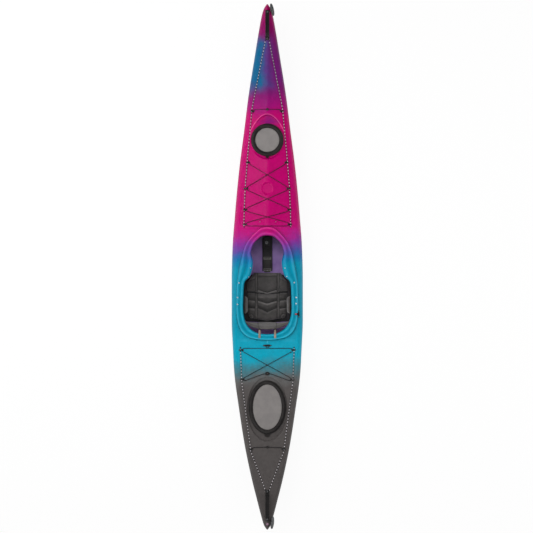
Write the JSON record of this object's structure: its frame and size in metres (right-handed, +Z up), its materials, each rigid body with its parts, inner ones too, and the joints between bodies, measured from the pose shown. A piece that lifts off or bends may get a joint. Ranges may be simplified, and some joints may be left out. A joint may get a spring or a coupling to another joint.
{
  "type": "sea kayak",
  "caption": "Touring sea kayak hull with keyhole cockpit, padded seat, sealed hatches, drop skeg, deck lines, bungees and carry toggles.",
  "frame": {"origin": "on the flat of the keel, under the middle of the hull's length and beam", "axes": "+Y towards the bow, +X towards starboard, +Z up out of the cockpit"},
  "size_m": [0.6, 4.4258, 0.4171],
  "materials": {
    "hull_polyethylene": "satin moulded polyethylene, magenta at the bow running through purple to cyan and then dark grey at the stern",
    "bulkhead_foam": "matte closed-cell foam",
    "black_plastic": "matte",
    "steel": "brushed",
    "nylon": "matte",
    "red_knob": "matte",
    "rubber": "matte",
    "hatch_panel": "fine textured, bare",
    "seat_fabric": "dull woven cover over foam",
    "pale_fabric": "dull woven cover over foam",
    "thigh_foam": "matte closed-cell foam",
    "tan_webbing": "woven tape",
    "black_webbing": "woven tape",
    "toggle_grip": "matte",
    "cord": "braided"
  },
  "bodies": {
    "hull": {"hull_shell": "hull_polyethylene", "front_bulkhead": "bulkhead_foam", "rear_bulkhead": "bulkhead_foam", "skeg_box": "black_plastic", "skeg_pivot_pin": "steel", "skeg_cable_tube": "black_plastic", "skeg_cleat": "nylon", "seat_pan": "black_plastic", "seat_pad": "seat_fabric", "seat_track": "black_plastic", "leg_lifter_strap": "black_webbing", "hip_pad_port": "pale_fabric", "thigh_pad_port": "thigh_foam", "backband_strap_port": "tan_webbing", "foot_rail_port": "black_plastic", "hip_pad_starboard": "pale_fabric", "thigh_pad_starboard": "thigh_foam", "backband_strap_starboard": "tan_webbing", "foot_rail_starboard": "black_plastic", "bow_handle_strap": "black_webbing", "stern_handle_strap": "black_webbing", "cockpit_padeye": "nylon", "deck_fitting_a_port": "nylon", "deck_fitting_a_starboard": "nylon", "deck_fitting_b_port": "nylon", "deck_fitting_b_starboard": "nylon", "deck_fitting_c_port": "nylon", "deck_fitting_c_starboard": "nylon", "deck_fitting_d_port": "nylon", "deck_fitting_d_starboard": "nylon", "deck_fitting_e_port": "nylon", "deck_fitting_e_starboard": "nylon", "deck_fitting_f_port": "nylon", "deck_fitting_f_starboard": "nylon", "deck_fitting_g_port": "nylon", "deck_fitting_g_starboard": "nylon", "deck_fitting_h_port": "nylon", "deck_fitting_h_starboard": "nylon", "bungee_guide_front": "nylon", "bungee_guide_middle": "nylon", "bungee_guide_rear": "nylon", "front_perimeter_line": "cord", "rear_perimeter_line": "cord", "front_cross_bungee": "cord", "front_deck_bungee": "cord", "rear_deck_bungee": "cord", "rear_paddle_bungee": "cord"},
    "front_hatch": {"front_hatch_cover": "rubber", "front_hatch_panel": "hatch_panel"},
    "rear_hatch": {"rear_hatch_cover": "rubber", "rear_hatch_panel": "hatch_panel"},
    "plug": {"drain_plug": "rubber"},
    "skeg": {"skeg_blade": "black_plastic"},
    "skeg_knob": {"skeg_pull_knob": "red_knob"},
    "pedal_port": {"foot_pedal_port": "black_plastic"},
    "pedal_starboard": {"foot_pedal_starboard": "black_plastic"},
    "back_support": {"backband": "pale_fabric"},
    "thigh_cushion": {"leg_lifter": "seat_fabric"},
    "bow_grip": {"bow_toggle": "toggle_grip"},
    "stern_grip": {"stern_toggle": "toggle_grip"}
  },
  "joints": [
    {"name": "front_hatch_lift", "type": "slide", "parent": "hull", "child": "front_hatch", "axis": [0, 0, 1], "range_m": [0, 0.15]},
    {"name": "rear_hatch_lift", "type": "slide", "parent": "hull", "child": "rear_hatch", "axis": [0, 0, 1], "range_m": [0, 0.15]},
    {"name": "drain_plug_pull", "type": "slide", "parent": "hull", "child": "plug", "axis": [0, 0, 1], "range_m": [0, 0.03]},
    {"name": "skeg_pivot", "type": "hinge", "parent": "hull", "child": "skeg", "pos_m": [0, -1.508, 0.076], "axis": [1, 0, 0], "range_deg": [0, 55]},
    {"name": "skeg_line_pull", "type": "slide", "parent": "hull", "child": "skeg_knob", "axis": [0, 1, 0], "range_m": [0, 0.06]},
    {"name": "foot_pedal_port_slide", "type": "slide", "parent": "hull", "child": "pedal_port", "axis": [0.0904, 0.9959, 0], "range_m": [-0.15, 0.15]},
    {"name": "foot_pedal_starboard_slide", "type": "slide", "parent": "hull", "child": "pedal_starboard", "axis": [-0.0904, 0.9959, 0], "range_m": [-0.15, 0.15]},
    {"name": "backband_tilt", "type": "hinge", "parent": "hull", "child": "back_support", "pos_m": [0, -0.438, 0.1], "axis": [-1, 0, 0], "range_deg": [0, 22]},
    {"name": "leg_lifter_tilt", "type": "hinge", "parent": "hull", "child": "thigh_cushion", "pos_m": [0, -0.2345, 0.037], "axis": [1, 0, 0], "range_deg": [0, 15]},
    {"name": "bow_toggle_swing", "type": "hinge", "parent": "hull", "child": "bow_grip", "pos_m": [0.0186, 2.145, 0.393], "axis": [0.2079, -0.9781, 0], "range_deg": [0, 80]},
    {"name": "stern_toggle_swing", "type": "hinge", "parent": "hull", "child": "stern_grip", "pos_m": [0.0186, -2.125, 0.331], "axis": [-0.1045, -0.9945, 0], "range_deg": [0, 80]}
  ],
  "couplings": [
    {"joint": "skeg_line_pull", "follows": "skeg_pivot", "m_per_rad": 0.0625}
  ]
}
